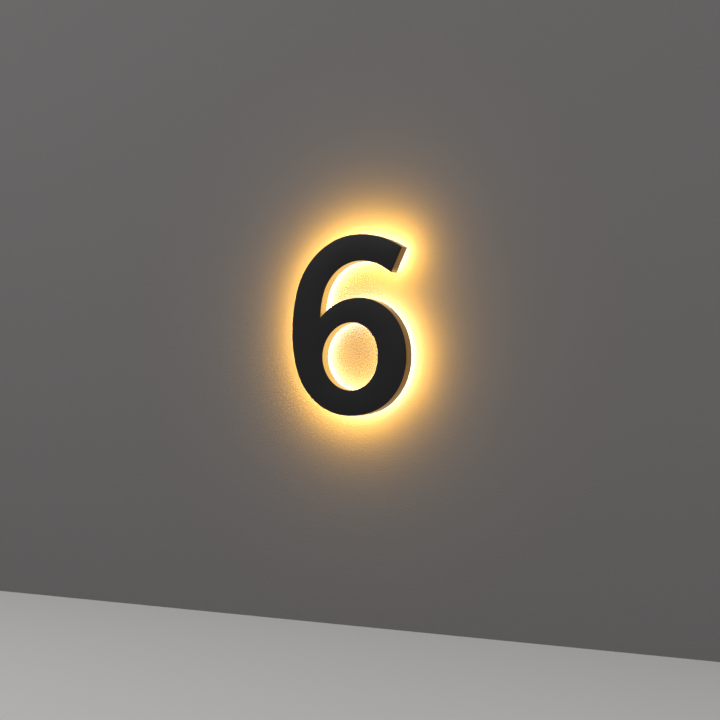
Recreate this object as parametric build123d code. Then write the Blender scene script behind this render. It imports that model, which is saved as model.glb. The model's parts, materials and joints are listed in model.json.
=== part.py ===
from build123d import *

import os
from math import copysign, cos, radians, sin, sqrt, tan

# A halo-lit house numeral six: a hollow metal figure that stands off a wall on four
# threaded studs and shines warm light back onto the wall through an opal rear panel.
# Sizes are in millimetres and angles in degrees.
# X points right as a visitor reads the numeral, Z points up, Y points into the wall.
# The origin is the centre of the four studs, on the surface of the wall.
# Depths are distances out from the wall, so a depth of 12 lies at Y = -12.

# ---- outline of the numeral: a share of its width across, of its height upward ----
numeral_height = 300.0
numeral_width = 225.6
crown_x = 0.0754 * numeral_width  # highest point of the figure
foot_x = 0.0155 * numeral_width  # lowest point
stem_z = -0.0233 * numeral_height  # leftmost point
bowl_z = -0.1783 * numeral_height  # rightmost point
bowl_top_x = 0.0842 * numeral_width
bowl_top_z = 0.1505 * numeral_height
crown_stroke = 0.1465 * numeral_height
stem_stroke = 0.2535 * numeral_width
waist_stroke = 0.272 * numeral_width
shoulder_stroke = 0.135 * numeral_height
bowl_stroke = 0.2405 * numeral_width
foot_stroke = 0.1395 * numeral_height
crown_turn = 75.0  # each turn is the angle where one arc hands over to the next
foot_left_turn = 76.0
foot_right_turn = 15.0
bowl_turn = 80.0
aperture_turn = 71.0
tip_radius = 0.718 * numeral_width
aperture_radius = 0.4322 * numeral_width
shoulder_radius = 0.4654 * numeral_width
aperture_x = 0.0975 * numeral_width
crotch_straight = 0.0067 * numeral_height
tip_x = 0.4632 * numeral_width
tip_lean = 27.0
counter_x = 0.0266 * numeral_width
counter_z = -0.17 * numeral_height

# ---- shell ----
wall_gap = 12.0
return_depth = 16.5
return_wall = 1.2
face_thickness = 1.5
drain_diameter = 4.0
drain_spacing = 28.0

# ---- opal rear panel and its bead of silicone ----
panel_thickness = 3.0
panel_recess = 1.0
panel_clearance = 0.3
bead_width = 2.5

# ---- studs, drilled to whole millimetres, and what they carry ----
stud_x = round(0.2 * numeral_width)
stud_z = round(0.39 * numeral_height)
stud_diameter = 4.0
shank_diameter = 3.5
shank_length = 45.0
shank_chamfer = 0.5
flange_diameter = 7.0
flange_thickness = 1.0
spacer_diameter = 6.5
sleeve_diameter = 10.0
sleeve_clearance = 0.2
panel_hole_clearance = 0.3
washer_diameter = 9.0
washer_thickness = 0.8
nut_across_flats = 7.0
nut_thickness = 2.2
nut_crown_diameter = 6.6
nut_chamfer_angle = 30.0
nut_clearance = 0.05

# ---- cable grommet ----
supply_inset = 11.6  # from the counter to the grommet and the terminal
grommet_rise = 3.0  # above the middle of the counter
grommet_diameter = 12.0
grommet_neck = 8.0
grommet_bore = 5.0
grommet_flange = 1.5
grommet_rounding = 0.6
grommet_clearance = 0.1

# ---- light modules ----
module_length = 36.0
module_gap = 10.0  # least length of wire between two modules
module_width = 13.0
module_height = 5.0
module_corner = 0.6
pad_thickness = 0.8
pad_margin = 0.8
pocket_depth = 2.2
pocket_end_wall = 2.5
pocket_side_wall = 1.5
board_thickness = 1.0
board_clearance = 0.3
potting_clearance = 0.1
lens_spacing = 18.0
lens_diameter = 6.0
lens_seat = 1.9
lens_rise = 1.5
lens_clearance = 0.1
lens_ledge = 0.5
chip_length = 3.5
chip_width = 2.8
chip_height = 0.7
chain_inset = 11.0  # start of the chain, right of the crotch
chain_drop = 14.0  # and below it

# ---- wires ----
wire_diameter = 1.2
wire_offset = 5.3
wire_level = 3.4
wire_bend_share = 0.45

# ---- supply terminal ----
terminal_rise = 27.0
terminal_width = 12.0
terminal_length = 14.0
terminal_height = 9.0
terminal_corner = 0.8
terminal_pole = 3.0
tunnel_diameter = 3.2
cage_width = 4.6
cage_length = 6.0
cage_height = 5.0
cage_bore = 2.4
cage_wall = 1.0
cage_clearance = 0.1
terminal_screw_diameter = 2.5
terminal_head_diameter = 3.8
terminal_head_height = 1.6
terminal_head_sink = 0.6
terminal_slot_width = 0.6
terminal_slot_depth = 0.7

# ---- sizes that follow ----
half_height = numeral_height / 2
half_width = numeral_width / 2
face_inner = wall_gap + return_depth
face_outer = face_inner + face_thickness
panel_rear = wall_gap + panel_recess
panel_front = panel_rear + panel_thickness
washer_rear = panel_rear - washer_thickness
nut_rear = washer_rear - nut_thickness
stud_radius = stud_diameter / 2
sleeve_bore = stud_radius + sleeve_clearance
housing_top = pad_thickness + module_height
pocket_roof = pad_thickness + pocket_depth
lens_floor = housing_top - lens_seat
cage_low = wire_level - cage_bore / 2 - cage_wall
counter_left = -half_width + waist_stroke
supply_x = counter_left - supply_inset
terminal_z = counter_z + terminal_rise
grommet_z = counter_z + grommet_rise
stud_points = [(stud_x, -stud_z), (-stud_x, -stud_z), (-stud_x, stud_z), (stud_x, stud_z)]
stud_names = ["lower_right", "lower_left", "upper_left", "upper_right"]

# ---- corner and extreme points of the outline ----
crown = (crown_x, half_height)
stem = (-half_width, stem_z)
foot = (foot_x, -half_height)
bowl = (half_width, bowl_z)
shoulder = (bowl_top_x, bowl_top_z)
roof = (aperture_x, half_height - crown_stroke)
tip = (tip_x, half_height - tip_radius + sqrt(tip_radius**2 - (tip_x - crown_x) ** 2))
# the cut leans from the tip down to the heel, where it meets the arc of the roof
lean = (-sin(radians(tip_lean)), -cos(radians(tip_lean)))
tip_across = tip[0] - roof[0]
tip_above = tip[1] - roof[1] + aperture_radius
along_cut = tip_across * lean[0] + tip_above * lean[1]
beyond_roof = tip_across**2 + tip_above**2 - aperture_radius**2
cut_length = -along_cut - sqrt(along_cut**2 - beyond_roof)
heel = (tip[0] + lean[0] * cut_length, tip[1] + lean[1] * cut_length)
# the crotch is where the shoulder of the bowl meets the inner edge of the stem
inner_stem_x = -half_width + stem_stroke
crotch_drop = shoulder_radius - sqrt(shoulder_radius**2 - (shoulder[0] - inner_stem_x) ** 2)
crotch = (inner_stem_x, shoulder[1] - crotch_drop)
inner_stem = (inner_stem_x, crotch[1] + crotch_straight)


def layer(profile, rear, front):
    """Extrude a profile drawn in X and Z from one depth out to another."""
    return extrude(Plane.XZ.offset(rear) * profile, front - rear)


def seat(x, z, depth):
    """A plane at a depth that faces the wall, with its X along the numeral's X."""
    return Plane(origin=(x, -depth, z), x_dir=(1, 0, 0), z_dir=(0, 1, 0))


def quarter(level, upright, turn):
    """Two tangent arcs from a point with a level tangent to one with an upright tangent."""
    across = abs(upright[0] - level[0])
    rise = abs(upright[1] - level[1])
    side = copysign(1, upright[0] - level[0])
    up = copysign(1, upright[1] - level[1])
    s = sin(radians(turn))
    c = cos(radians(turn))
    radius = (across * c - rise * (1 - s)) / (s + c - 1)
    join = (level[0] + side * radius * s, level[1] + up * radius * (1 - c))
    first = TangentArc(level, join, tangent=(side, 0))
    second = TangentArc(join, upright, tangent=first % 1)
    return [first, second]


def numeral_outline():
    """The outer contour of the six, from its tip over the crown and round the bowl."""
    edges = [
        TangentArc(crown, tip, tangent=(1, 0)),
        Line(tip, heel),
        TangentArc(roof, heel, tangent=(1, 0)),
        Line(inner_stem, crotch),
        TangentArc(shoulder, crotch, tangent=(-1, 0)),
    ]
    edges += quarter(crown, stem, crown_turn)
    edges += quarter(foot, stem, foot_left_turn)
    edges += quarter(foot, bowl, foot_right_turn)
    edges += quarter(shoulder, bowl, bowl_turn)
    edges += quarter(roof, inner_stem, aperture_turn)
    return make_face(edges)


def counter_outline():
    """The closed hole of the bowl."""
    top = (counter_x, bowl_top_z - shoulder_stroke)
    base = (counter_x, -half_height + foot_stroke)
    left = (counter_left, counter_z)
    right = (half_width - bowl_stroke, counter_z)
    edges = quarter(top, left, bowl_turn) + quarter(base, left, bowl_turn)
    edges += quarter(base, right, bowl_turn) + quarter(top, right, bowl_turn)
    return make_face(edges)


outline = numeral_outline()
counter = counter_outline()
outline_inside = offset(outline, -return_wall)
counter_inside = offset(counter, return_wall)


def make_face_plate():
    return layer(outline - counter, face_inner, face_outer)


def make_outer_return():
    """The band round the figure, with two drain holes at its lowest point."""
    band = layer(outline - outline_inside, wall_gap, face_inner)
    drain = Cylinder(drain_diameter / 2, 4 * return_wall)
    for side in (-1, 1):
        x = foot_x + side * drain_spacing / 2
        band -= Pos(x, -(panel_front + face_inner) / 2, -half_height + return_wall) * drain
    return band


def make_counter_return():
    return layer(counter_inside - counter, wall_gap, face_inner)


def make_back_panel():
    """Opal sheet, drilled for the studs and for the cable grommet."""
    rim = offset(outline, -return_wall - panel_clearance)
    eye = offset(counter, return_wall + panel_clearance)
    sheet = rim - eye
    for point in stud_points:
        sheet -= Pos(*point) * Circle(stud_radius + panel_hole_clearance)
    sheet -= Pos(supply_x, grommet_z) * Circle(grommet_neck / 2 + grommet_clearance)
    return layer(sheet, panel_rear, panel_front)


def make_outer_bead():
    bead = outline_inside - offset(outline, -return_wall - bead_width)
    return layer(bead, wall_gap, panel_rear)


def make_counter_bead():
    bead = offset(counter, return_wall + bead_width) - counter_inside
    return layer(bead, wall_gap, panel_rear)


def make_stud(point):
    """A stud on its weld flange: a thread out to the wall, then a plain shank inside the wall."""
    shank = disc(shank_diameter / 2, face_inner, face_inner + shank_length)
    shank = chamfer(shank.faces().sort_by(Axis.Z)[-1].edges(), shank_chamfer)
    flange = disc(flange_diameter / 2, 0, flange_thickness)
    return seat(*point, face_inner) * (disc(stud_radius, 0, face_inner) + shank + flange)


def make_tube(point, outer, rear, front):
    """A plain sleeve round a stud between two depths."""
    ring = Circle(outer / 2) - Circle(sleeve_bore)
    return layer(Pos(*point) * ring, rear, front)


def make_nut(point):
    """A thin hexagon nut with chamfered corners."""
    hexagon = RegularPolygon(nut_across_flats / 2, 6, major_radius=False)
    crown = nut_crown_diameter / 2
    skirt = crown + nut_thickness / tan(radians(nut_chamfer_angle))
    cone = Pos(0, 0, nut_thickness / 2) * Cone(skirt, crown, nut_thickness)
    bore = Cylinder(stud_radius + nut_clearance, 4 * nut_thickness)
    blank = extrude(hexagon, nut_thickness) & cone
    return seat(*point, washer_rear) * (blank - bore)


def make_grommet():
    """A rubber ring that grips the panel between two flanges."""
    neck = Cylinder(grommet_neck / 2, panel_thickness)
    flange = Cylinder(grommet_diameter / 2, grommet_flange)
    rounded = fillet(flange.edges().sort_by(Axis.Z)[-1], grommet_rounding)
    lift = (panel_thickness + grommet_flange) / 2
    body = neck + Pos(0, 0, lift) * rounded + Pos(0, 0, -lift) * Rot(180, 0, 0) * rounded
    body -= Cylinder(grommet_bore / 2, panel_thickness + 4 * grommet_flange)
    return seat(supply_x, grommet_z, panel_rear + panel_thickness / 2) * body


def slab(length, width, low, high, corner=0.0):
    """A flat block on a seat plane between two heights above it."""
    shape = Rectangle(length, width)
    if corner:
        shape = fillet(shape.vertices(), corner)
    return Pos(0, 0, low) * extrude(shape, high - low)


def disc(radius, low, high):
    return Pos(0, 0, low) * extrude(Circle(radius), high - low)


def make_housing():
    """Moulded module body: a pocket for the board and two stepped lens wells."""
    body = slab(module_length, module_width, pad_thickness, housing_top)
    body = fillet(body.edges().filter_by(Axis.Z), module_corner)
    body = chamfer(body.faces().sort_by(Axis.Z)[-1].edges(), module_corner / 2)
    pocket_length = module_length - 2 * pocket_end_wall
    pocket_width = module_width - 2 * pocket_side_wall
    body -= slab(pocket_length, pocket_width, pad_thickness, pocket_roof)
    for side in (-1, 1):
        well = disc(lens_diameter / 2 + lens_clearance, lens_floor, housing_top)
        well += disc(lens_diameter / 2 - lens_ledge, pocket_roof, lens_floor)
        body -= Pos(side * lens_spacing / 2, 0, 0) * well
    return body


def make_lens():
    """A clear lens: a short barrel under a shallow dome."""
    radius = lens_diameter / 2
    dome_radius = (radius**2 + lens_rise**2) / (2 * lens_rise)
    ball = Pos(0, 0, housing_top + lens_rise - dome_radius) * Sphere(dome_radius)
    barrel = disc(radius, lens_floor, housing_top + lens_rise)
    return barrel & (ball + disc(radius, lens_floor, housing_top))


def make_board():
    length = module_length - 2 * pocket_end_wall - 2 * board_clearance
    width = module_width - 2 * pocket_side_wall - 2 * board_clearance
    return slab(length, width, pocket_roof - board_thickness, pocket_roof)


def make_potting():
    length = module_length - 2 * pocket_end_wall - 2 * potting_clearance
    width = module_width - 2 * pocket_side_wall - 2 * potting_clearance
    return slab(length, width, pad_thickness, pocket_roof - board_thickness)


def make_pad(length, width):
    return slab(length - 2 * pad_margin, width - 2 * pad_margin, 0, pad_thickness)


def light_chain():
    """Seat planes of the light modules: as many as fit between two studs, evenly spaced."""
    route = Spline(
        (crotch[0] + chain_inset, crotch[1] - chain_drop),
        (counter_x, bowl_top_z - shoulder_stroke / 2),
        (half_width - bowl_stroke / 2, bowl_z),
        stud_points[0],
        (foot_x, -half_height + foot_stroke / 2),
        stud_points[1],
        (-half_width + waist_stroke / 2, (counter_z + stem_z) / 2),
        stud_points[2],
        (0, half_height - crown_stroke / 2),
        stud_points[3],
        ((tip[0] + heel[0]) / 2, (tip[1] + heel[1]) / 2),
    )
    stops = [0.0] + [route.param_at_point(point) for point in stud_points] + [1.0]
    half_share = module_length / route.length / 2
    planes = []
    for low, high in zip(stops, stops[1:]):
        count = int((high - low) * route.length / (module_length + module_gap))
        for i in range(count):
            # a module is a chord of the route, so its two ends lie on the route
            place = low + (high - low) * (i + 0.5) / count
            tail = route.position_at(place - half_share)
            nose = route.position_at(place + half_share)
            x = (tail.X + nose.X) / 2
            z = (tail.Y + nose.Y) / 2
            ahead = (nose.X - tail.X, 0, nose.Y - tail.Y)
            planes.append(Plane(origin=(x, -face_inner, z), x_dir=ahead, z_dir=(0, 1, 0)))
    return planes


def wire(start, leaving, end, arriving):
    """A round wire of three straight runs and two bends, as wide as the runs allow."""
    run = (end - start).length / 3
    points = [start, start + leaving * run, end - arriving * run, end]
    steps = [after - before for before, after in zip(points, points[1:])]
    radii = []
    for before, after in zip(steps, steps[1:]):
        half_turn = radians(before.get_angle(after)) / 2
        radii.append(wire_bend_share * min(before.length, after.length) / tan(half_turn))
    route = FilletPolyline(*points, radius=radii)
    section = Plane(origin=start, z_dir=leaving) * Circle(wire_diameter / 2)
    return sweep(section, path=route), min(radii)


def make_wires(planes, side):
    """One conductor from its terminal pole through the whole chain of modules."""
    half_length = module_length / 2
    start = Vector(supply_x + side * terminal_pole, -face_inner + wire_level, terminal_z)
    leaving = Vector(0, 0, 1)
    links = []
    bends = []
    for plane in planes:
        end = plane.from_local_coords(Vector(-half_length, side * wire_offset, wire_level))
        link, bend = wire(start, leaving, end, plane.x_dir)
        links.append(link)
        bends.append(bend)
        start = plane.from_local_coords(Vector(half_length, side * wire_offset, wire_level))
        leaving = plane.x_dir
    print(f"conductor of {len(links)} links, tightest bend {min(bends):.1f}")
    return links


def make_terminal_body():
    """Two-pole block: a tunnel, a cage chamber and a screw well for each pole."""
    top = pad_thickness + terminal_height
    body = slab(terminal_width, terminal_length, pad_thickness, top)
    body = fillet(body.edges().filter_by(Axis.Z), terminal_corner)
    chamber = slab(
        cage_width + 2 * cage_clearance,
        cage_length + 2 * cage_clearance,
        cage_low,
        cage_low + cage_height + cage_clearance,
    )
    tunnel = Pos(0, 0, wire_level) * Rot(90, 0, 0) * Cylinder(tunnel_diameter / 2, 2 * terminal_length)
    well = disc(terminal_head_diameter / 2 + cage_clearance, cage_low, top)
    for side in (-1, 1):
        body -= Pos(side * terminal_pole, 0, 0) * (chamber + tunnel + well)
    return seat(supply_x, terminal_z, face_inner) * body


def make_cage(side):
    """Brass clamp with a hole for the wire and a threaded hole for its screw."""
    cage = slab(cage_width, cage_length, cage_low, cage_low + cage_height)
    cage -= Pos(0, 0, wire_level) * Rot(90, 0, 0) * Cylinder(cage_bore / 2, 2 * cage_length)
    cage -= disc(terminal_screw_diameter / 2 + nut_clearance, wire_level, cage_low + cage_height)
    return seat(supply_x + side * terminal_pole, terminal_z, face_inner) * cage


def make_terminal_screw(side):
    """A slotted screw whose tip presses on the wire."""
    head_top = pad_thickness + terminal_height - terminal_head_sink
    head_low = head_top - terminal_head_height
    screw = disc(terminal_screw_diameter / 2, wire_level + wire_diameter / 2, head_low)
    screw += disc(terminal_head_diameter / 2, head_low, head_top)
    slot = slab(2 * terminal_head_diameter, terminal_slot_width, head_top - terminal_slot_depth, head_top)
    return seat(supply_x + side * terminal_pole, terminal_z, face_inner) * (screw - slot)


def save(name, solids):
    """Write one sub-part, which may be a group of like solids."""
    shape = solids[0] if len(solids) == 1 else Compound(children=solids)
    shape.label = name
    export_step(shape, f"parts/{name}.step")


os.makedirs("parts", exist_ok=True)

save("face_plate", [make_face_plate()])
save("outer_return", [make_outer_return()])
save("counter_return", [make_counter_return()])
save("back_panel", [make_back_panel()])
save("outer_bead", [make_outer_bead()])
save("counter_bead", [make_counter_bead()])

for stud_name, stud_point in zip(stud_names, stud_points):
    save(f"wall_stud_{stud_name}", [make_stud(stud_point)])
    spacer = make_tube(stud_point, spacer_diameter, panel_front, face_inner - flange_thickness)
    save(f"panel_spacer_{stud_name}", [spacer])
    save(f"wall_sleeve_{stud_name}", [make_tube(stud_point, sleeve_diameter, 0, nut_rear)])
save("panel_washers", [make_tube(point, washer_diameter, washer_rear, panel_rear) for point in stud_points])
save("panel_nuts", [make_nut(point) for point in stud_points])
save("cable_grommet", [make_grommet()])

save("terminal_body", [make_terminal_body()])
save("terminal_cages", [make_cage(side) for side in (-1, 1)])
save("terminal_screws", [make_terminal_screw(side) for side in (-1, 1)])

chain = light_chain()
housing = make_housing()
lens = make_lens()
chip = slab(chip_length, chip_width, pocket_roof, pocket_roof + chip_height)
lens_places = [Pos(side * lens_spacing / 2, 0, 0) for side in (-1, 1)]
for number, plane in enumerate(chain, 1):
    save(f"module_housing_{number:02d}", [plane * housing])
    save(f"module_lenses_{number:02d}", [plane * place * lens for place in lens_places])
save("module_boards", [plane * make_board() for plane in chain])
save("module_potting", [plane * make_potting() for plane in chain])
save("module_chips", [plane * place * chip for plane in chain for place in lens_places])
pads = [plane * make_pad(module_length, module_width) for plane in chain]
pads.append(seat(supply_x, terminal_z, face_inner) * make_pad(terminal_width, terminal_length))
save("adhesive_pads", pads)
save("link_wires_red", make_wires(chain, 1))
save("link_wires_black", make_wires(chain, -1))
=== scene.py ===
# %% [markdown]
# # A halo-lit house number six
# The numeral is a hollow metal box shaped like a six. A black face plate closes it in front,
# bronze-coloured bands called returns run round its edges, and an opal panel closes it behind.
# Light modules inside shine out through the panel onto the wall, and the numeral reads as a dark
# figure in a warm halo. The solids come from CAD. This notebook gives them their visible surfaces,
# adds the small shapes that a solid leaves out, and lights the result softly.

import json
from math import ceil, cos, exp, pi, radians, sin, tau

import bmesh
import bpy
import numpy as np
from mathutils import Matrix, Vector, geometry, noise


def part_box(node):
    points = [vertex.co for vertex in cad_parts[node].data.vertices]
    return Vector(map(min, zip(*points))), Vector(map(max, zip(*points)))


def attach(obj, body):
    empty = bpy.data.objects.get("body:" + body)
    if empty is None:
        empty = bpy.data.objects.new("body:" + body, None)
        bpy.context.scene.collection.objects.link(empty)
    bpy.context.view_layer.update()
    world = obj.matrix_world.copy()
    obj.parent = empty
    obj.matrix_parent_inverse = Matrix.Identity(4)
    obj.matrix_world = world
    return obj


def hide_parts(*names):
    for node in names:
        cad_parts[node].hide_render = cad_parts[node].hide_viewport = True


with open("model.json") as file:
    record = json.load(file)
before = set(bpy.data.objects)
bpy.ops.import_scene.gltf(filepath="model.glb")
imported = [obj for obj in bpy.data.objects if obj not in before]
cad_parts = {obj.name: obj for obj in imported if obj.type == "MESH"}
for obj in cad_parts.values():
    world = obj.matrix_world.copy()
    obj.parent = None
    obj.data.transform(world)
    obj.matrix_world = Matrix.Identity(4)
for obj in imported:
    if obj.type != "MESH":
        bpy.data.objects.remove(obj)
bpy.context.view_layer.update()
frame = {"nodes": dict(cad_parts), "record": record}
nodes = frame["nodes"]

# %% [markdown]
# ## The camera
# The photograph was taken from the numeral's right and a little below its middle, with a long
# lens from about two and a half metres. The place was solved from the vanishing points of the
# upright and level edges round the numeral, so the render has the same perspective. A camera
# could also be aimed with a Track To constraint, but plain angles stay readable.

# %% Camera
lens = bpy.data.cameras.new("camera")
lens.sensor_width = 36.0
lens.lens = 74.45
camera = bpy.data.objects.new("camera", lens)
camera.location = (1.36211, -2.08211, -0.12398)
camera.rotation_euler = (radians(91.545), 0.0, radians(33.1))
bpy.context.scene.collection.objects.link(camera)
bpy.context.scene.camera = camera
print("camera", round(camera.location.length, 3), "m from the numeral's middle")

# %% [markdown]
# ## A small language for materials
# A material is a graph of nodes, and long graphs are hard to read as calls that add and link
# nodes one by one. Here one class stands for a graph, with a single method that adds any node.
# Another makes a material of it, and a third wraps a socket, so that sums on surfaces read as
# ordinary Python.

# %% A socket that can be used in sums
class Signal:
    """One output of a node, a number or a colour that changes over the surface."""

    def __init__(self, graph, socket):
        self.graph = graph
        self.socket = socket

    def math(self, operation, first, second):
        return self.graph.node("ShaderNodeMath", {"operation": operation}, {0: first, 1: second})

    def __add__(self, other):
        return self.math("ADD", self, other)

    __radd__ = __add__

    def __mul__(self, other):
        return self.math("MULTIPLY", self, other)

    __rmul__ = __mul__


# %% A graph, and the one method that adds its nodes
class Graph:
    """The nodes of a material or of the world."""

    def __init__(self, tree):
        self.tree = tree

    def node(self, kind, settings, sockets, output=0):
        """Add a node with its settings and sockets, and return one of its outputs."""
        made = self.tree.nodes.new(kind)
        for key, value in settings.items():
            setattr(made, key, value)
        for key, value in sockets.items():
            self.feed(made.inputs[key], value)
        return Signal(self, made.outputs[output])

    def feed(self, target, value):
        """Link a signal to an input, or set the input to a plain value."""
        if isinstance(value, Signal):
            self.tree.links.new(value.socket, target)
        else:
            target.default_value = value


# %% A material
class Finish(Graph):
    """A material round one Principled shader. Keywords set that shader's constant sockets."""

    def __init__(self, name, **constants):
        self.material = bpy.data.materials.new(name)
        self.material.use_nodes = True
        super().__init__(self.material.node_tree)
        self.shader = self.tree.nodes["Principled BSDF"]
        for key, value in constants.items():
            self.shader.inputs[key.replace("_", " ")].default_value = value

    def paint(self, **sockets):
        """Feed what changes over the surface into the shader."""
        for key, value in sockets.items():
            self.feed(self.shader.inputs[key.replace("_", " ")], value)
        return self.material


# %% Patterns that many finishes share
def place(finish, stretch=(1.0, 1.0, 1.0)):
    """The surface point in metres, stretched along the numeral's axes."""
    point = finish.node("ShaderNodeTexCoord", {}, {}, "Object")
    return finish.node("ShaderNodeVectorMath", {"operation": "MULTIPLY"}, {0: point, 1: stretch})


def speckle(finish, per_metre, detail=3.0, stretch=(1.0, 1.0, 1.0), roughness=0.5):
    """Smooth noise from 0 to 1 with about per_metre spots in a metre."""
    values = {"Vector": place(finish, stretch), "Scale": per_metre, "Detail": detail, "Roughness": roughness}
    return finish.node("ShaderNodeTexNoise", {}, values, "Fac")


# The places of a colour mix's sockets, which share their names with those for other data.
mix_mask = 0
mix_low = 6
mix_high = 7
mix_result = 2


def blend(finish, mask, low, high):
    """A colour between two colours or coloured signals, by a mask from 0 to 1."""
    ends = [end if isinstance(end, Signal) else (*end, 1.0) for end in (low, high)]
    sockets = {mix_mask: mask, mix_low: ends[0], mix_high: ends[1]}
    return finish.node("ShaderNodeMix", {"data_type": "RGBA", "blend_type": "MIX"}, sockets, mix_result)


def contrast(finish, signal, low, high):
    """Stretch the part of a signal from low to high over 0 to 1."""
    values = {"Value": signal, "From Min": low, "From Max": high}
    return finish.node("ShaderNodeMapRange", {"clamp": True}, values)


def relief(finish, height, depth):
    """Surface relief of a depth in metres, for the Normal socket."""
    return finish.node("ShaderNodeBump", {}, {"Height": height, "Distance": depth, "Strength": 1.0})


# %% [markdown]
# ## Finishes of the shell
# The face is powder coated: fine orange peel, satin rather than gloss, a shade lighter where dust
# lies. The returns are metal with a satin bronze colour, brushed along the band, so the
# scratches run round the numeral: noise that is squeezed across the band's depth gives them.
# Inside the counter and the aperture the bronze is painted much brighter, a painted glow that
# stands for the halo's light on those bands.
# The opal panel glows. Its light is painted as Emission Color from a value that Python works out
# for each point, because the sum of thirty light spots would be a huge node graph.

# %% Black powder coat
face_black = Finish("face_black", Specular_IOR_Level=0.2)
peel = speckle(face_black, 850.0, 2.0)
grit = speckle(face_black, 5200.0, 1.0)
cloud = speckle(face_black, 14.0, 3.0)
dust = cloud * 0.7 + grit * 0.3
face_black.paint(
    Base_Color=blend(face_black, dust, (0.0045, 0.004, 0.0045), (0.0115, 0.0105, 0.0115)),
    Roughness=0.36 + cloud * 0.08 + grit * 0.08,
    Normal=relief(face_black, peel * 0.8 + grit * 0.2, 0.00006),
)

# %% Satin bronze
return_bronze = Finish("return_bronze", Metallic=0.9)
brushed = speckle(return_bronze, 60.0, 4.0, (1.0, 60.0, 1.0), 0.7)
patches = speckle(return_bronze, 28.0, 4.0)
smears = contrast(return_bronze, patches, 0.35, 0.75)
wear = brushed * 0.6 + smears * 0.4
# The bright tone is painted light: the halo's glow on the bands, mixed in where much of the view ends on the
# numeral.
plain_bronze = blend(return_bronze, wear, (0.082, 0.046, 0.018), (0.155, 0.091, 0.037))
painted_lit_bronze = blend(return_bronze, wear, (0.52, 0.38, 0.15), (0.80, 0.60, 0.27))
painted_glow_mask = return_bronze.node("ShaderNodeAttribute", {"attribute_name": "painted_glow_mask"}, {}, "Fac")
return_bronze.paint(
    Base_Color=blend(return_bronze, painted_glow_mask, plain_bronze, painted_lit_bronze),
    Roughness=0.26 + brushed * 0.16 + smears * 0.08,
    Normal=relief(return_bronze, brushed, 0.00004),
)

# %% Opal panel
opal_acrylic = Finish("opal_acrylic", Emission_Strength=1.0)
haze = speckle(opal_acrylic, 700.0, 2.0)
cast_marks = speckle(opal_acrylic, 22.0, 3.0)
glow = opal_acrylic.node("ShaderNodeAttribute", {"attribute_name": "glow"}, {}, "Fac")
opal_acrylic.paint(
    Base_Color=blend(opal_acrylic, cast_marks, (0.80, 0.76, 0.68), (0.88, 0.85, 0.78)),
    Roughness=0.42 + haze * 0.12,
    Emission_Color=blend(opal_acrylic, glow, (0.24, 0.13, 0.045), (0.80, 0.60, 0.32)),
    Normal=relief(opal_acrylic, haze, 0.00002),
)

# %% Silicone bead
silicone = Finish("silicone", Subsurface_Weight=0.2, Subsurface_Scale=0.002)
tooled = speckle(silicone, 160.0, 3.0)
silicone.paint(
    Base_Color=blend(silicone, tooled, (0.70, 0.67, 0.60), (0.86, 0.84, 0.78)),
    Roughness=0.28 + tooled * 0.2,
    Normal=relief(silicone, tooled, 0.00015),
)

# %% [markdown]
# ## Finishes of the fixings and of the light chain
# Turned and rolled metal shows lines round its axis, which is the wall's normal here, so noise
# squeezed along that axis gives turning marks. Moulded plastic has a fine even spark texture, and
# rubber a dull bloom. One recipe makes every turned metal and another every plastic and rubber,
# each finish with its own colours. Foam tape and light chips have recipes of their own.

# %% One recipe for turned metal
def turned_metal(name, dark, bright, rough, lines):
    """Bare metal between two tones, with more and finer turning marks for more lines."""
    finish = Finish(name, Metallic=1.0)
    marks = speckle(finish, 30.0, 4.0, (1.0, lines, 1.0), 0.65)
    stains = speckle(finish, 180.0, 4.0)
    finish.paint(
        Base_Color=blend(finish, marks * 0.5 + stains * 0.5, dark, bright),
        Roughness=rough + marks * 0.16 + stains * 0.08,
        Normal=relief(finish, marks, 0.00002),
    )
    return finish.material


stainless = turned_metal("stainless", (0.50, 0.49, 0.47), (0.72, 0.71, 0.70), 0.20, 300.0)
sleeve_aluminium = turned_metal("sleeve_aluminium", (0.62, 0.62, 0.63), (0.80, 0.80, 0.81), 0.24, 220.0)
terminal_brass = turned_metal("terminal_brass", (0.60, 0.42, 0.16), (0.86, 0.68, 0.34), 0.24, 90.0)
screw_steel = turned_metal("screw_steel", (0.54, 0.55, 0.56), (0.74, 0.73, 0.68), 0.26, 180.0)


# %% One recipe for moulded plastic and rubber
def moulded(name, dark, light, rough, grain, depth, **constants):
    """Plastic or rubber between two tones, with a spark texture of so many spots in a metre."""
    finish = Finish(name, **constants)
    spark = speckle(finish, grain, 2.0)
    flow = speckle(finish, grain / 24.0, 4.0)
    finish.paint(
        Base_Color=blend(finish, flow * 0.7 + spark * 0.3, dark, light),
        Roughness=rough + spark * 0.12 + flow * 0.06,
        Normal=relief(finish, spark, depth),
    )
    return finish.material


spacer_nylon = moulded("spacer_nylon", (0.80, 0.78, 0.72), (0.90, 0.89, 0.85), 0.38, 2400.0, 0.00002)
terminal_nylon = moulded("terminal_nylon", (0.72, 0.72, 0.69), (0.84, 0.84, 0.82), 0.40, 3000.0, 0.00002)
module_white = moulded("module_white", (0.80, 0.80, 0.77), (0.90, 0.90, 0.88), 0.36, 2600.0, 0.00003)
grommet_rubber = moulded("grommet_rubber", (0.018, 0.018, 0.018), (0.05, 0.049, 0.047), 0.62, 1500.0, 0.00006)
potting_resin = moulded("potting_resin", (0.60, 0.59, 0.54), (0.78, 0.77, 0.73), 0.18, 500.0, 0.00008)
board_white = moulded("board_white", (0.78, 0.79, 0.76), (0.92, 0.92, 0.90), 0.24, 1900.0, 0.00002)
wire_red = moulded("wire_red", (0.42, 0.015, 0.012), (0.62, 0.045, 0.03), 0.30, 1400.0, 0.00002)
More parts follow.
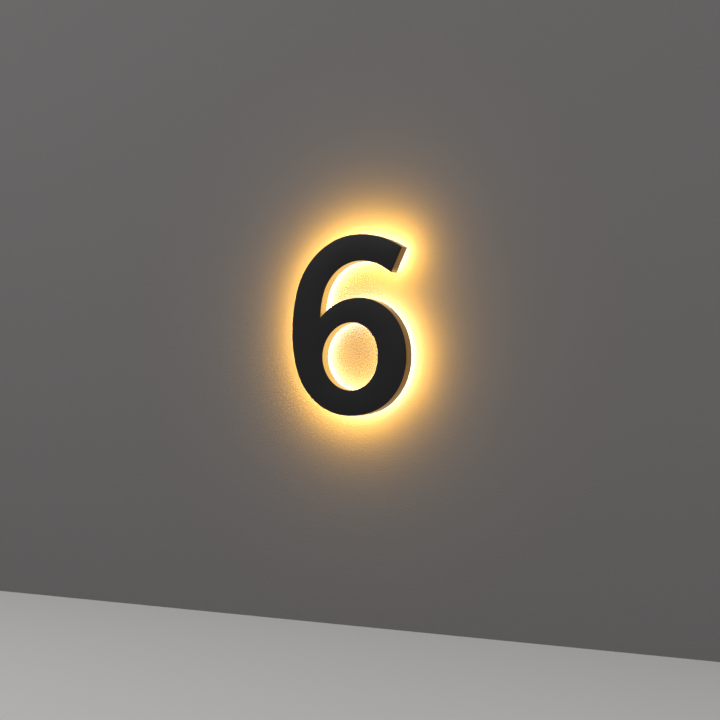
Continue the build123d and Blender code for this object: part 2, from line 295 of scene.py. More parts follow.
wire_black = moulded("wire_black", (0.014, 0.014, 0.015), (0.040, 0.040, 0.041), 0.32, 1400.0, 0.00002)
glassy = {"Transmission_Weight": 1.0, "IOR": 1.49}
lens_clear = moulded("lens_clear", (0.93, 0.95, 0.97), (0.97, 0.98, 0.99), 0.04, 900.0, 0.000004, **glassy)

# %% Foam tape and light chips
foam_tape = Finish("foam_tape")
cells = foam_tape.node(
    "ShaderNodeTexVoronoi", {"feature": "F1"}, {"Vector": place(foam_tape), "Scale": 3600.0}, "Distance"
)
foam_tape.paint(
    Base_Color=blend(foam_tape, cells, (0.02, 0.02, 0.02), (0.13, 0.13, 0.13)),
    Roughness=0.72 + cells * 0.2,
    Normal=relief(foam_tape, cells, 0.0001),
)
chip_phosphor = Finish("chip_phosphor", Emission_Strength=1.5)
grains = speckle(chip_phosphor, 9000.0, 2.0)
chip_phosphor.paint(
    Base_Color=blend(chip_phosphor, grains, (0.86, 0.60, 0.10), (0.98, 0.82, 0.30)),
    Roughness=0.3 + grains * 0.2,
    Emission_Color=blend(chip_phosphor, grains, (0.8, 0.42, 0.10), (1.0, 0.66, 0.25)),
    Normal=relief(chip_phosphor, grains, 0.00002),
)
chip_phosphor.material.cycles.emission_sampling = "NONE"
print(len(bpy.data.materials), "materials")

# %% [markdown]
# ## Which solid takes which finish
# The record names a material slot for every node. Each node that stays visible gets the material
# of that name, so the looks and the record agree.

# %% Dress the CAD nodes
finishes = {
    "face_black": face_black.material,
    "return_bronze": return_bronze.material,
    "opal_acrylic": opal_acrylic.material,
    "silicone": silicone.material,
    "stainless": stainless,
    "spacer_nylon": spacer_nylon,
    "sleeve_aluminium": sleeve_aluminium,
    "grommet_rubber": grommet_rubber,
    "terminal_nylon": terminal_nylon,
    "terminal_brass": terminal_brass,
    "screw_steel": screw_steel,
    "module_white": module_white,
    "lens_clear": lens_clear,
    "board_white": board_white,
    "potting_resin": potting_resin,
    "chip_phosphor": chip_phosphor.material,
    "foam_tape": foam_tape.material,
    "wire_red": wire_red,
    "wire_black": wire_black,
}
for part in frame["record"]["subparts"]:
    mesh = nodes[part["node"]].data
    mesh.materials.clear()
    mesh.materials.append(finishes[part["material_slot"]])

# %% [markdown]
# ## Outlines read from the solids
# The plate, the bands and the beads all follow the numeral's outline. The CAD meshes hold it
# already: the flat front of a solid is a patch of triangles, and the edges that only one triangle
# uses are its outline. Tracing those edges gives closed loops with the metal always on the left.

# %% Trace the loops of a flat front
def trace_loops(name):
    """Closed loops of X, Z points round a node's flat front, longest first, with material on their left."""
    mesh = nodes[name].data
    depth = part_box(name)[0].y
    flat = 1e-6
    keys_per_metre = 1e7
    spot = {}
    # The sides go in a dict and not in a set, because a dict keeps the mesh's order.
    ahead = {}
    for face in mesh.polygons:
        corners = [mesh.vertices[i].co for i in face.vertices]
        if any(abs(corner.y - depth) > flat for corner in corners):
            continue
        keys = [(round(corner.x * keys_per_metre), round(corner.z * keys_per_metre)) for corner in corners]
        for key, corner in zip(keys, corners):
            spot[key] = Vector((corner.x, corner.z))
        for a, b in zip(keys, keys[1:] + keys[:1]):
            ahead[(a, b)] = True
    links = {a: b for a, b in ahead if (b, a) not in ahead}
    loops = []
    while links:
        start = next(iter(links))
        chain = [start]
        while links[chain[-1]] != start:
            chain.append(links[chain[-1]])
        for key in chain:
            del links[key]
        loops.append([spot[key] for key in chain])
    return sorted(loops, key=lambda loop: -sum((a - b).length for a, b in zip(loop, loop[1:])))


face_loops = trace_loops("face_plate")
panel_loops = trace_loops("back_panel")
print("face loops", [len(loop) for loop in face_loops], "panel loops", [len(loop) for loop in panel_loops])


# %% [markdown]
# CAD meshes use long steps on gentle arcs. A band with small relief needs short ones, and points
# placed on straight chords would show as facets in a reflection. A Hermite curve through the
# traced points keeps the arc round, and the sharp corners of the numeral stay sharp.

# %% Finer points on a loop
same_arc = 0.94
longest_mitre = 0.35


def joined(side, other):
    """The direction where two sides meet: between them on an arc, and the side's own at a corner."""
    return ((side + other) if side.dot(other) > same_arc else side).normalized()


def sides_of(loop):
    """The direction from each point of a loop to the next."""
    return [(loop[(i + 1) % len(loop)] - loop[i]).normalized() for i in range(len(loop))]


def finer(loop, step):
    """The same loop with points no farther apart than a step, round between its corners."""
    count = len(loop)
    sides = sides_of(loop)
    points = []
    for i in range(count):
        a = loop[i]
        b = loop[(i + 1) % count]
        length = (b - a).length
        leave = joined(sides[i], sides[i - 1]) * length
        arrive = joined(sides[i], sides[(i + 1) % count]) * length
        parts = max(1, ceil(length / step))
        for k in range(parts):
            t = k / parts
            h = t * t * (3 - 2 * t)
            points.append(a * (1 - h) + b * h + leave * (t * (1 - t) ** 2) - arrive * (t * t * (1 - t)))
    return points


def inward(loop):
    """The direction into the material at each point, longer at corners so that bands keep their width."""
    normals = [Vector((-side.y, side.x)) for side in sides_of(loop)]
    result = []
    for i, normal in enumerate(normals):
        both = normals[i - 1] + normal
        result.append(both / max(longest_mitre, 1 + normals[i - 1].dot(normal)))
    return result


# %% [markdown]
# ## Building pieces
# Every piece goes through one function that makes the object, smooths it except at real edges,
# hangs it on the body and hides the solids it stands for.

# %% Add one piece
def add_piece(name, mesh_builder, slot, replaced=(), angle=34.0):
    """Turn a bmesh into a finished object on the body, in the finish of its slot."""
    bmesh.ops.remove_doubles(mesh_builder, verts=mesh_builder.verts, dist=1e-7)
    bmesh.ops.recalc_face_normals(mesh_builder, faces=mesh_builder.faces)
    mesh = bpy.data.meshes.new(name)
    mesh_builder.to_mesh(mesh)
    mesh_builder.free()
    mesh.shade_smooth()
    mesh.set_sharp_from_angle(angle=radians(angle))
    mesh.materials.append(finishes[slot])
    piece = bpy.data.objects.new(name, mesh)
    bpy.context.scene.collection.objects.link(piece)
    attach(piece, "root")
    if replaced:
        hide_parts(*replaced)
    return piece


def sweep(builder, loop, profile, closed=True):
    """Carry a profile of (inset, depth) points round a loop. Returns the rows of vertices."""
    ways = inward(loop)
    rows = []
    for index, (point, way) in enumerate(zip(loop, ways)):
        row = []
        for inset, depth in profile(index) if callable(profile) else profile:
            spot = point + way * inset
            row.append(builder.verts.new((spot.x, -depth, spot.y)))
        rows.append(row)
    for row, after in zip(rows, rows[1:] + rows[:1]):
        for j in range(len(row) if closed else len(row) - 1):
            k = (j + 1) % len(row)
            builder.faces.new((row[j], after[j], after[k], row[k]))
    return rows


def quarter(steps):
    """Angles from nothing to a quarter turn."""
    return [pi / 2 * k / steps for k in range(steps + 1)]


ease_steps = 4


def eased_edge(rear, front, ease):
    """Profile of a plate's edge, from its front face round to its rear face."""
    turns = quarter(ease_steps)
    nose = [(ease * (1 - sin(a)), front - ease * (1 - cos(a))) for a in turns]
    tail = [(ease * (1 - cos(a)), rear + ease * (1 - sin(a))) for a in turns]
    return nose + tail


# %% [markdown]
# ## Face plate
# The plate is laser-cut metal, 1.5 mm thick, with its edge eased before it is coated, and that
# thin rounded edge catches the light all round the figure. A Solidify and a Bevel modifier could
# make it from the outline. Here the edge is swept instead, so that it keeps its width round the
# corners, and both flat sides are filled with a constrained Delaunay mesh, which copes with the
# counter's hole.

# %% Fill a flat region
# The grid for points inside a plate reaches a little past the numeral.
grid_width = 0.24
grid_height = 0.32
inner_triangles = 1
tolerance = 1e-9
plate_step = 0.003


def inside(points, loops):
    """Which points lie in the material: a ray from them crosses the loops an odd number of times."""
    x, z = np.array([tuple(point) for point in points]).T
    crossings = np.zeros(len(points), int)
    for loop in loops:
        ends = np.array([tuple(point) for point in loop])
        for (x0, z0), (x1, z1) in zip(ends, np.roll(ends, -1, axis=0)):
            between = (z0 > z) != (z1 > z)
            if between.any():
                crossings += between & (x < (x1 - x0) * (z - z0) / ((z1 - z0) or 1.0) + x0)
    return crossings % 2 == 1


def fill(builder, loops, depth, spacing=None):
    """Close the space between loops of vertices at one depth with triangles."""
    rims = [[Vector((vertex.co.x, vertex.co.z)) for vertex in loop] for loop in loops]
    corners = [vertex for loop in loops for vertex in loop]
    points = [point for loop in rims for point in loop]
    edges = []
    first = 0
    for loop in loops:
        edges += [(first + i, first + (i + 1) % len(loop)) for i in range(len(loop))]
        first += len(loop)
    if spacing:
        columns = int(grid_width / spacing)
        rows = int(grid_height / spacing)
        grid = [
            Vector(((i - columns / 2 + 0.5 * (j % 2)) * spacing, (j - rows / 2) * spacing))
            for i in range(columns) for j in range(rows)
        ]
        points += [point for point, kept in zip(grid, inside(grid, rims)) if kept]
    flat, _, faces, origins, _, _ = geometry.delaunay_2d_cdt(points, edges, [], inner_triangles, tolerance)
    middles = [sum((flat[i] for i in face), Vector((0.0, 0.0))) / len(face) for face in faces]
    made = {}
    for face, kept in zip(faces, inside(middles, rims)):
        if not kept:
            continue
        for i in face:
            if i not in made:
                known = [k for k in origins[i] if k < len(corners)]
                made[i] = corners[known[0]] if known else builder.verts.new((flat[i].x, -depth, flat[i].y))
        builder.faces.new([made[i] for i in face])


def plate(loops, rear, front, ease, spacing=None):
    """A flat plate between two depths with eased edges on both sides."""
    builder = bmesh.new()
    profile = eased_edge(rear, front, ease)
    front_rows = []
    rear_rows = []
    for loop in loops:
        rows = sweep(builder, finer(loop, plate_step), profile, closed=False)
        front_rows.append([row[0] for row in rows])
        rear_rows.append([row[-1] for row in rows])
    fill(builder, front_rows, front, spacing)
    fill(builder, rear_rows, rear, spacing)
    return builder


face_ease = 0.0004
face_rear = -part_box("face_plate")[1].y
face_front = -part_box("face_plate")[0].y
face_piece = add_piece(
    "face_plate_coated", plate(face_loops, face_rear, face_front, face_ease), "face_black", ["face_plate"]
)
thickness = round((face_front - face_rear) * 1000, 2)
print("face plate", thickness, "mm thick,", len(face_piece.data.polygons), "faces")

# %% [markdown]
# ## Returns
# Each return is a strip of 1.2 mm metal bent round the outline and joined to the plate's edge.
# A strip's cut edge is deburred, so the rim that faces the wall is slightly round, and where it
# meets the plate a hairline shows. A profile carried round the traced loop gives both. The drain
# holes at the lowest point are cut afterwards with a Boolean modifier, as a drill would.

# %% Two bands from one profile
gauge = 0.0012
band_ease = 0.0003
hairline = 0.00012
band_step = 0.002
rim = -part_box("outer_return")[1].y
joint = -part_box("outer_return")[0].y


def band_profile():
    """A strip's section: outer side, round rim toward the wall, inner side."""
    ease = band_ease
    turns = quarter(ease_steps)
    outer = [(hairline, joint), (0.0, joint - hairline)]
    outer += [(ease * (1 - cos(a)), rim + ease * (1 - sin(a))) for a in turns]
    inner = [(gauge - ease * (1 - sin(a)), rim + ease * (1 - cos(a))) for a in turns]
    return outer + inner + [(gauge, joint)]


drain_radius = 0.002
drain_middle = 0.0035
drain_spread = 0.014
drain_depth = 0.02225
drill_length = 0.006
drill_segments = 48


def drill(piece, spots, radius):
    """Cut round holes along Z through a piece."""
    cutter_mesh = bmesh.new()
    for spot in spots:
        ring = bmesh.ops.create_cone(
            cutter_mesh,
            cap_ends=True,
            segments=drill_segments,
            radius1=radius,
            radius2=radius,
            depth=drill_length,
        )
        bmesh.ops.translate(cutter_mesh, verts=ring["verts"], vec=spot)
    mesh = bpy.data.meshes.new("cutter")
    cutter_mesh.to_mesh(mesh)
    cutter_mesh.free()
    cutter = bpy.data.objects.new("cutter", mesh)
    bpy.context.scene.collection.objects.link(cutter)
    cut = piece.modifiers.new("drain_holes", "BOOLEAN")
    cut.operation = "DIFFERENCE"
    cut.solver = "EXACT"
    cut.object = cutter
    graph = bpy.context.evaluated_depsgraph_get()
    drilled = bpy.data.meshes.new_from_object(piece.evaluated_get(graph))
    piece.modifiers.clear()
    piece.data = drilled
    bpy.data.objects.remove(cutter)


# %% [markdown]
# The bands inside the counter and the aperture see the halo of several edges at once, and there the
# bronze is painted in a much brighter tone: painted light, not a tone of the metal. A fan of rays
# from each place on the outline finds how much of its view ends on the numeral, and the band's
# points store that share, for the bronze to mix its plain tone with the painted lit one.

# %% Enclosure round the outline, for the painted glow on the bands
fan = [radians(a) for a in range(-60, 61, 10)]
fan_reach = 0.16
off_surface = 0.001
parallel = 1e-12


def enclosure_of(points):
    """For points with their outward directions, the share of a fan of rays that ends on the numeral."""
    loops = [np.array([tuple(point) for point in loop]) for loop in face_loops]
    starts = np.vstack(loops)
    steps = np.vstack([np.roll(loop, -1, axis=0) - loop for loop in loops])
    shares = []
    for point, way in points:
        gap = starts - np.array(point + way * off_surface)
        total = 0.0
        for a in fan:
            ray = (way.x * cos(a) - way.y * sin(a), way.x * sin(a) + way.y * cos(a))
            cross = ray[0] * steps[:, 1] - ray[1] * steps[:, 0]
            cross = np.where(np.abs(cross) < parallel, parallel, cross)
            far = (gap[:, 0] * steps[:, 1] - gap[:, 1] * steps[:, 0]) / cross
            along = (gap[:, 0] * ray[1] - gap[:, 1] * ray[0]) / cross
            if ((along >= 0) & (along <= 1) & (far > 0) & (far < fan_reach)).any():
                total += cos(a)
        shares.append(total / sum(cos(a) for a in fan))
    return shares


enclosure_step = 0.004
neighbours = 3
open_share = 0.2
share_range = 0.5


def paint_halo_glow(piece, loop):
    """Store the painted glow, from the enclosure of the nearest place on a loop, at each point of a piece."""
    points = finer(loop, enclosure_step)
    shares = np.array(enclosure_of([(point, -way.normalized()) for point, way in zip(points, inward(points))]))
    shifts = range(-neighbours, neighbours + 1)
    soft = sum(np.roll(shares, shift) for shift in shifts) / len(shifts)
    places = np.array([tuple(point) for point in points])
    values = []
    for vertex in piece.data.vertices:
        nearest = np.abs(places - (vertex.co.x, vertex.co.z)).sum(axis=1).argmin()
        values.append(min(1.0, max(0.0, (soft[nearest] - open_share) / share_range)))
    piece.data.attributes.new("painted_glow_mask", "FLOAT", "POINT").data.foreach_set("value", values)


# %% Outer and counter return
outer_band = bmesh.new()
sweep(outer_band, finer(face_loops[0], band_step), band_profile())
outer_piece = add_piece("outer_return_band", outer_band, "return_bronze", ["outer_return"])
before = len(outer_piece.data.polygons)
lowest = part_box("outer_return")[0].z
drains = [Vector((drain_middle + side * drain_spread, -drain_depth, lowest)) for side in (-1, 1)]
drill(outer_piece, drains, drain_radius)
paint_halo_glow(outer_piece, face_loops[0])
print("outer band", before, "faces,", len(outer_piece.data.polygons), "after drilling")

counter_band = bmesh.new()
sweep(counter_band, finer(face_loops[1], band_step), band_profile())
counter_piece = add_piece("counter_return_band", counter_band, "return_bronze", ["counter_return"])
paint_halo_glow(counter_piece, face_loops[1])
print("counter band", len(counter_piece.data.polygons), "faces")

# %% [markdown]
# ## Weld inside the shell
# The strip is held to the plate by a fine bead inside, where it can't be seen. A weld is a row of
# overlapping pools, so the bead's size rises and falls every two millimetres or so along the joint.
# A bump map could draw that ripple, but a section that changes along the sweep makes a real one.

# %% Rippled bead between plate and return
weld_size = 0.0008
weld_ripple = 0.0001
weld_step = 0.0008
points_per_pool = 3.0
weld_bulge = 0.62


def weld_profile(index):
    size = weld_size + weld_ripple * sin(index * tau / points_per_pool)
    bulge = size * weld_bulge
    return [(gauge, joint), (gauge, joint - size), (gauge + bulge, joint - bulge), (gauge + size, joint)]


weld = bmesh.new()
for loop in face_loops:
    sweep(weld, finer(loop, weld_step), weld_profile)
weld_piece = add_piece("inner_weld", weld, "return_bronze", angle=80.0)
print("weld", len(weld_piece.data.polygons), "faces")

# %% [markdown]
# ## Opal panel
# The panel is acrylic, drilled for the studs and the grommet. The plate function makes it too, but
# with a grid of points inside, because the light that passes through is stored at its points. Each
# lens adds a soft spot to an even glow from all the reflections inside the white shell.

# %% Panel with its glow
panel_ease = 0.0003
glow_step = 0.003
glow_between = 0.35
glow_of_lens = 0.65
glow_radius = 0.011
panel_rear = -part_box("back_panel")[1].y
panel_front = -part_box("back_panel")[0].y
panel_piece = add_piece(
    "opal_panel",
    plate(panel_loops, panel_rear, panel_front, panel_ease, glow_step),
    "opal_acrylic",
    ["back_panel"],
)


def lens_centres():
    """Both lens centres of every module, from the two halves of its lens node."""
    centres = []
    for name in sorted(nodes):
        if not name.startswith("module_lenses"):
            continue
        spots = [Vector((vertex.co.x, vertex.co.z)) for vertex in nodes[name].data.vertices]
        middle = sum(spots, Vector((0.0, 0.0))) / len(spots)
        way = max(spots, key=lambda spot: (spot - middle).length) - middle
        for side in (-1, 1):
            half = [spot for spot in spots if (spot - middle).dot(way) * side > 0]
            centres.append(sum(half, Vector((0.0, 0.0))) / len(half))
    return centres


lenses = lens_centres()
glow_map = panel_piece.data.attributes.new("glow", "FLOAT", "POINT")
values = []
for vertex in panel_piece.data.vertices:
    spot = Vector((vertex.co.x, vertex.co.z))
    light = sum(glow_of_lens * exp(-((spot - lens).length / glow_radius) ** 2) for lens in lenses)
    values.append(min(1.0, glow_between + light))
glow_map.data.foreach_set("value", values)
print("glow of", len(lenses), "lenses from", round(min(values), 2), "to", round(max(values), 2))

# %% [markdown]
# ## Silicone beads
# A bead of silicone closes the gap between panel and return. It is drawn with a finger or a
# spatula, so its surface is hollow and its edge wanders a little. A bevelled curve could follow the
# outline too, but it grows and shrinks as a whole. In a sweep the width and the height can follow
# smooth noise along the loop by amounts of their own.

# %% Tooled beads
bead_width = 0.0021
bead_wander = 0.0003
bead_fill = 0.84
bead_fill_wander = 0.12
bead_steps = 5
wander_per_metre = 90.0


def bead(name, loop, replaced, seed):
    """A bead along a loop, hollow on its open side. The seed picks its own stretch of noise."""
    points = finer(loop, band_step)

    def section(index):
        spot = points[index] * wander_per_metre
        wander = noise.noise(Vector((spot.x, spot.y, seed)))
        width = bead_width + bead_wander * wander
        height = (panel_rear - rim) * (bead_fill + bead_fill_wander * wander)
        turns = quarter(bead_steps)
        hollow = [(gauge + width * (1 - sin(a)), panel_rear - height * (1 - cos(a))) for a in turns]
        return hollow + [(gauge, panel_rear)]

    builder = bmesh.new()
    sweep(builder, points, section)
    return add_piece(name, builder, "silicone", [replaced], angle=60.0)


outer_bead = bead("outer_silicone", face_loops[0], "outer_bead", 3.0)
counter_bead = bead("counter_silicone", face_loops[1], "counter_bead", 8.0)
print("beads", len(outer_bead.data.polygons) + len(counter_bead.data.polygons), "faces")

# %% [markdown]
# ## Turned pieces
# Studs, sleeves, spacers, washers and the grommet are all round about the wall's normal. One
# function turns a list of radius and depth round an axis, as a lathe does. A radius may also
# change with the angle, and that is all a screw thread needs.

# %% A lathe
def turn(builder, centre, rows, columns=40, ring=True):
    """Surface of revolution about an axis along Y. A row is (radius or function of the angle, depth)."""
    grid = []
    for radius, depth in rows:
        row = []
        for k in range(columns):
            a = tau * k / columns
            r = radius(a) if callable(radius) else radius
            row.append(builder.verts.new((centre[0] + r * cos(a), -depth, centre[1] + r * sin(a))))
        grid.append(row)
    pairs = list(zip(grid, grid[1:])) + ([(grid[-1], grid[0])] if ring else [])
    for row, after in pairs:
        for k in range(columns):
            m = (k + 1) % columns
            builder.faces.new((row[k], row[m], after[m], after[k]))
    if not ring:
        builder.faces.new(grid[0])
        builder.faces.new(grid[-1])


def tube_rows(bore, outside, rear, front, ease):
    """Section of a tube with chamfered ends."""
    return [
        (bore, rear + ease / 2), (bore + ease / 2, rear), (outside - ease, rear), (outside, rear + ease),
        (outside, front - ease), (outside - ease, front), (bore + ease / 2, front), (bore, front - ease / 2),
    ]


# %% [markdown]
# ## Wall studs
# An M4 stud carries a rolled thread from its weld flange to the wall, and beyond it a plain shank
# with shallow rings that the resin grips. The thread is a ridge that moves along the axis by one
# pitch in each turn, so the radius depends on the angle and the depth together.

# %% Studs with thread and ringed shank
flange_radius = 0.0035
flange_height = 0.001
flange_land = 0.002
flange_ease = 0.0001
flange_chamfer = 0.0002
flange_end = joint - flange_height
stud_columns = 28
pitch = 0.0007
rows_per_pitch = 8
crest_radius = 0.002
thread_depth = 0.00042
groove_slope = 2.6
crest_flat = 0.2
shank_radius = 0.00175
groove_radius = 0.0016
shank_end = 0.045
ring_count = 29
ring_step = 0.0015
ring_land = 0.0009
ring_slope = 0.0002
first_ring = 0.0005
tip_start = 0.0008
tip_chamfer = 0.0005


def thread_radius(depth):
    """The thread's radius at one depth, as a function of the angle."""

    def radius(angle):
        phase = (depth / pitch + angle / tau) % 1.0
        groove = min(1.0, max(0.0, abs(phase - 0.5) * groove_slope - crest_flat))
        return crest_radius - thread_depth * groove

    return radius


def stud_rows():
    """Rows of a stud from its flange to the end of its shank."""
    rows = [(flange_radius - flange_land, joint), (flange_radius - flange_ease, joint)]
    rows += [(flange_radius, joint - flange_ease), (flange_radius, flange_end + flange_chamfer)]
    rows.append((flange_radius - flange_chamfer, flange_end))
    thread_step = pitch / rows_per_pitch
    steps = int(flange_end / thread_step)
    rows += [(thread_radius(k * thread_step), k * thread_step) for k in range(steps, -1, -1)]
    for k in range(ring_count):
        start = -first_ring - k * ring_step
        land_end = start - ring_land
        rows += [(shank_radius, start), (shank_radius, land_end)]
        rows += [(groove_radius, land_end - ring_slope), (groove_radius, land_end - 2 * ring_slope)]
    tip = [(shank_radius, tip_start - shank_end), (shank_radius, tip_chamfer - shank_end)]
    return rows + tip + [(shank_radius - tip_chamfer, -shank_end)]


# %% [markdown]
# ## What sits on the studs
# On each stud a spacer holds the panel off the flange, a washer spreads the nut's grip, and a
# sleeve keeps the numeral off the wall. All three are rings with a plain bore. A Bevel modifier
# could ease their ends, but on the lathe a chamfer is only one more point of the section.

# %% Studs, and the tubes that sit on them
stud_bore = 0.0022
sleeve_radius = 0.005
spacer_radius = 0.00325
washer_radius = 0.0045
washer_thickness = 0.0008
sleeve_ease = 0.0004
spacer_ease = 0.0003
washer_ease = 0.00015


def tube(name, centre, outside, rear, front, ease, slot, replaced):
    """One tube round a stud, as a finished piece."""
    builder = bmesh.new()
    turn(builder, centre, tube_rows(stud_bore, outside, rear, front, ease))
    add_piece(name, builder, slot, [replaced])


def middle_of(name):
    """Where a node's axis crosses the wall, to a tenth of a millimetre."""
    low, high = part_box(name)
    return round((low.x + high.x) / 2, 4), round((low.z + high.z) / 2, 4)


washer_end = panel_rear - washer_thickness
sleeve_end = -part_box("wall_sleeve_upper_left")[0].y
corners = ("lower_left", "upper_left", "lower_right", "upper_right")
for corner in corners:
    axis = middle_of(f"wall_stud_{corner}")
    stud = bmesh.new()
    turn(stud, axis, stud_rows(), stud_columns, ring=False)
    add_piece(f"stud_{corner}", stud, "stainless", [f"wall_stud_{corner}"], angle=28.0)
    sleeve = f"wall_sleeve_{corner}"
    spacer = f"panel_spacer_{corner}"
    washers = "panel_washers"
    tube(f"sleeve_{corner}", axis, sleeve_radius, 0.0, sleeve_end, sleeve_ease, "sleeve_aluminium", sleeve)
    tube(
        f"spacer_{corner}", axis, spacer_radius, panel_front, flange_end, spacer_ease, "spacer_nylon", spacer
    )
    tube(f"washer_{corner}", axis, washer_radius, washer_end, panel_rear, washer_ease, "stainless", washers)
print("turned", len(corners) * 4, "pieces on the studs")

# %% [markdown]
# ## Cable grommet
# The grommet is soft rubber: two round lips and a waist that grips the panel. Its section is all
# curves, and the bore flares slightly at both mouths so that it doesn't cut the cable.

# %% Grommet
low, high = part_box("cable_grommet")
inlet = ((low.x + high.x) / 2, (low.z + high.z) / 2)
rear_lip = -high.y
front_lip = -low.y
bore_radius = 0.0025
bend_radius = 0.0031
mouth_radius = 0.0036
mouth_depth = 0.0012
bend_depth = 0.0003
lip_radius = 0.006
lip_round = 0.0007
waist_radius = 0.004
waist_swell = 0.00005
waist_ease = 0.0001
lip_steps = 6
grommet_columns = 48


def lip(depth, away):
    """Points over one lip from bore to waist."""
    flare = [(bore_radius, depth + away * mouth_depth), (bend_radius, depth + away * bend_depth)]
    turns = [pi * k / lip_steps for k in range(lip_steps + 1)]
    tip = [
        (lip_radius - lip_round + lip_round * sin(a), depth + away * lip_round * (1 - cos(a)))
        for a in turns
    ]
    return [*flare, (mouth_radius, depth), *tip]


rear_side = lip(rear_lip, 1)
front_side = lip(front_lip, -1)
grommet = bmesh.new()
waist = [
    (waist_radius + waist_swell, panel_rear - waist_ease),
    (waist_radius, panel_rear),
    (waist_radius, panel_front),
    (waist_radius + waist_swell, panel_front + waist_ease),
]
turn(grommet, inlet, rear_side + waist + front_side[::-1], grommet_columns)
grommet_piece = add_piece("rubber_grommet", grommet, "grommet_rubber", ["cable_grommet"], angle=60.0)
print("grommet", len(grommet_piece.data.polygons), "faces")

# %% [markdown]
# ## Wall and floor
# The wall is a plain grey backdrop, because a halo needs a surface that is darker than itself.
# Seen from behind it must not hide the numeral, so its rear side lets every ray through. It shows
# its colour to the camera alone, so that the bright halo throws no glare back at the numeral's
# rear, which other views show. The floor is plain and pale.

# %% Stage
def one_sided(finish):
    """Make a finish show on its front side only."""
    behind = finish.node("ShaderNodeNewGeometry", {}, {}, "Backfacing")
    clear = finish.node("ShaderNodeBsdfTransparent", {}, {}, "BSDF")
    opaque = Signal(finish, finish.shader.outputs[0])
    mix = finish.node("ShaderNodeMixShader", {}, {0: behind, 1: opaque, 2: clear})
    finish.feed(finish.tree.nodes["Material Output"].inputs["Surface"], mix)
    return finish.material


def stage_mesh(name, corners, faces, material):
    """A mesh that belongs to the stage and not to the numeral."""
    mesh = bpy.data.meshes.new(name)
    mesh.from_pydata(corners, [], faces)
    mesh.materials.append(material)
    made = bpy.data.objects.new(name, mesh)
    bpy.context.scene.collection.objects.link(made)
    return made


wall_grey = Finish("wall_grey", Roughness=0.9)
seen = wall_grey.node("ShaderNodeLightPath", {}, {}, "Is Camera Ray")
wall_grey.paint(
    Base_Color=blend(wall_grey, seen, (0.003, 0.003, 0.003), (0.14, 0.135, 0.135)),
    Normal=relief(wall_grey, speckle(wall_grey, 380.0, 3.0), 0.0006),
)
floor_pale = Finish("floor_pale", Roughness=0.8, Base_Color=(0.72, 0.71, 0.69, 1.0))
stage_half = 4.0
floor_reach = 5.0
floor_z = -0.5
wall_top = 3.0
wall_y = 0.0002
square = [(0, 1, 2, 3)]
sides = ((-1, -1), (1, -1), (1, 1), (-1, 1))
wall_corners = [(sx * stage_half, wall_y, wall_top if sz > 0 else floor_z) for sx, sz in sides]
floor_corners = [(sx * stage_half, sy * floor_reach, floor_z) for sx, sy in sides]
backdrop = stage_mesh("wall", wall_corners, square, one_sided(wall_grey))
stage_mesh("floor", floor_corners, square, one_sided(floor_pale))
print("wall", 2 * stage_half, "m wide, floor at", floor_z, "m")

# %% [markdown]
# ## Light of the halo
# To throw this halo, the panel would have to be many times brighter than it looks here, and it
# would burn out in every view from behind. So it keeps a level at which it can be looked at, and
# lamps that light the wall alone do the rest: a pale sheet of light with the panel's own outline
# for the core of the halo, and a row of amber lamps round both edges for its wide soft rim. These
# shine through the numeral, so they cast no shadow and are sampled as lamps only, which keeps the
# grain on the wall low. They are weaker where the numeral itself closes the view, because there the
# light of several edges adds up. A lamp on the wall stands for what the wall throws back, and
# lights the returns alone.

# %% Halo lamps
def group(name, *pieces):
    """A collection that lamps can be linked to."""
    made = bpy.data.collections.new(name)
    for piece in pieces:
        made.objects.link(piece)
    return made


def area_lamp(name, where, aim, size, colour, watts, receivers=None):
    """A rectangular lamp. With receivers it lights these pieces alone."""
    light = bpy.data.lights.new(name, "AREA")
    light.shape = "RECTANGLE"
    light.size, light.size_y = size
    light.color = colour
    light.energy = watts
    lamp = bpy.data.objects.new(name, light)
    lamp.location = where
    lamp.rotation_euler = aim
    lamp.light_linking.receiver_collection = receivers
    bpy.context.scene.collection.objects.link(lamp)
    return lamp


wall_alone = group("wall_alone", backdrop)
returns_alone = group("returns_alone", outer_piece, counter_piece)


def halo_sheet(name, depth, colour, strength):
    """A sheet of light with the panel's outline that faces the wall and lights nothing else."""
    black = (0.0, 0.0, 0.0, 1.0)
    light = Finish(name, Base_Color=black, Emission_Color=(*colour, 1.0), Emission_Strength=strength)
    builder = bmesh.new()
    edges = [[builder.verts.new((point.x, -depth, point.y)) for point in loop] for loop in panel_loops]
    fill(builder, edges, depth)
    corners = [tuple(vertex.co) for vertex in builder.verts]
    builder.verts.index_update()
    faces = []
    for face in builder.faces:
        face.normal_update()
        order = [vertex.index for vertex in face.verts]
        faces.append(order if face.normal.y > 0 else order[::-1])
    builder.free()
    sheet = stage_mesh(name, corners, faces, one_sided(light))
    sheet.visible_camera = False
    sheet.visible_glossy = False
    sheet.visible_transmission = False
    sheet.visible_shadow = False
    sheet.light_linking.receiver_collection = wall_alone


def at_steps(loop, step):
    """Points at even steps round a loop, each with its direction out of the material."""
    points = finer(loop, band_step)
    gone = 0.0
    for i, way in enumerate(inward(points)):
        gone += (points[i] - points[i - 1]).length
        if gone >= step:
            gone = 0.0
            yield points[i], -way.normalized()


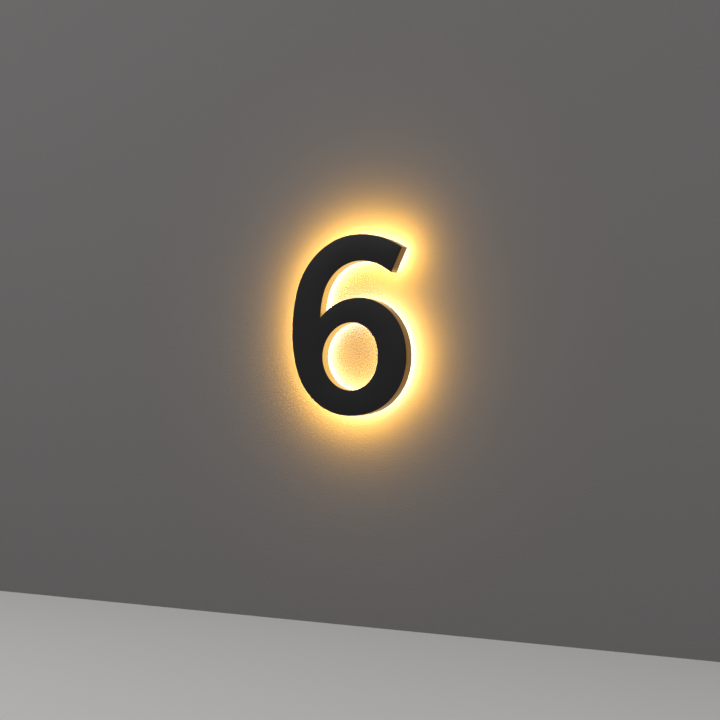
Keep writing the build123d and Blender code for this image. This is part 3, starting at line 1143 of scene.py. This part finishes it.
core_colour = (0.93, 0.9, 0.88)
core_strength = 13.2
core_depth = rim - 0.0001
amber_colour = (1.0, 0.50, 0.035)
amber_step = 0.026
amber_inset = 0.012
amber_depth = 0.046
amber_size = (0.03, 0.03)
amber_watts = 0.124
less_in_shelter = 0.11
toward_wall = (pi / 2, 0.0, 0.0)
away_from_wall = (-pi / 2, 0.0, 0.0)
halo_sheet("halo_core", core_depth, core_colour, core_strength)
edge_spots = [spot for loop in face_loops for spot in at_steps(loop, amber_step)]
for index, ((point, way), share) in enumerate(zip(edge_spots, enclosure_of(edge_spots))):
    spot = point - way * amber_inset
    where = (spot.x, -amber_depth, spot.y)
    watts = amber_watts - less_in_shelter * share
    name = f"halo_{index:02d}"
    amber = area_lamp(name, where, toward_wall, amber_size, amber_colour, watts, wall_alone)
    amber.data.use_shadow = False
    amber.data.cycles.use_multiple_importance_sampling = False
    amber.visible_camera = False
    amber.visible_glossy = False
print(len(edge_spots), "lamps round the halo")

bounce_colour = (1.0, 0.76, 0.40)
bounce_size = (0.36, 0.44)
bounce_level = 1.5
bounce_watts = bounce_level * pi * bounce_size[0] * bounce_size[1]
middle = (0.0, 0.0, 0.0)
area_lamp("wall_bounce", middle, away_from_wall, bounce_size, bounce_colour, bounce_watts, returns_alone)

# %% [markdown]
# ## Light of the studio
# Satin metal shows its finish only where something soft and bright is mirrored in it. Two large
# lamps give the plate and the bands a soft gradient, and a white world fills in the rest. A picture
# of real surroundings could light them too, but plain lamps can be set one by one. The world looks
# brighter to the camera than it shines, so that what lies behind the numeral stays pale without
# washing out the halo.

# %% Lamps and world
sky_light = 0.5
sky_seen = 0.85


def soft_lamp(name, where, size, watts):
    """A square lamp that looks at the numeral. Returns what a white card that faces out gives back."""
    aim = (-Vector(where)).to_track_quat("-Z", "Y").to_euler()
    area_lamp(name, where, aim, (size, size), (1.0, 1.0, 1.0), watts)
    distance = Vector(where).length
    return watts / pi / distance**2 * (-where[1] / distance) / pi


level = soft_lamp("key", (-1.4, -2.2, 1.9), 1.6, 34.0)
level += soft_lamp("fill", (2.0, -1.8, 0.6), 1.2, 9.0)

world = bpy.data.worlds.new("studio")
world.use_nodes = True
bpy.context.scene.world = world
sky = world.node_tree.nodes["Background"]
sky.inputs["Color"].default_value = (1.0, 1.0, 1.0, 1.0)
studio = Graph(world.node_tree)
in_view = studio.node("ShaderNodeLightPath", {}, {}, "Is Camera Ray")
studio.feed(sky.inputs["Strength"], sky_light + in_view * (sky_seen - sky_light))
print("a white card that faces out gives back", round(level + sky_light, 2))

# %% View transform
bpy.context.scene.view_settings.view_transform = "Standard"
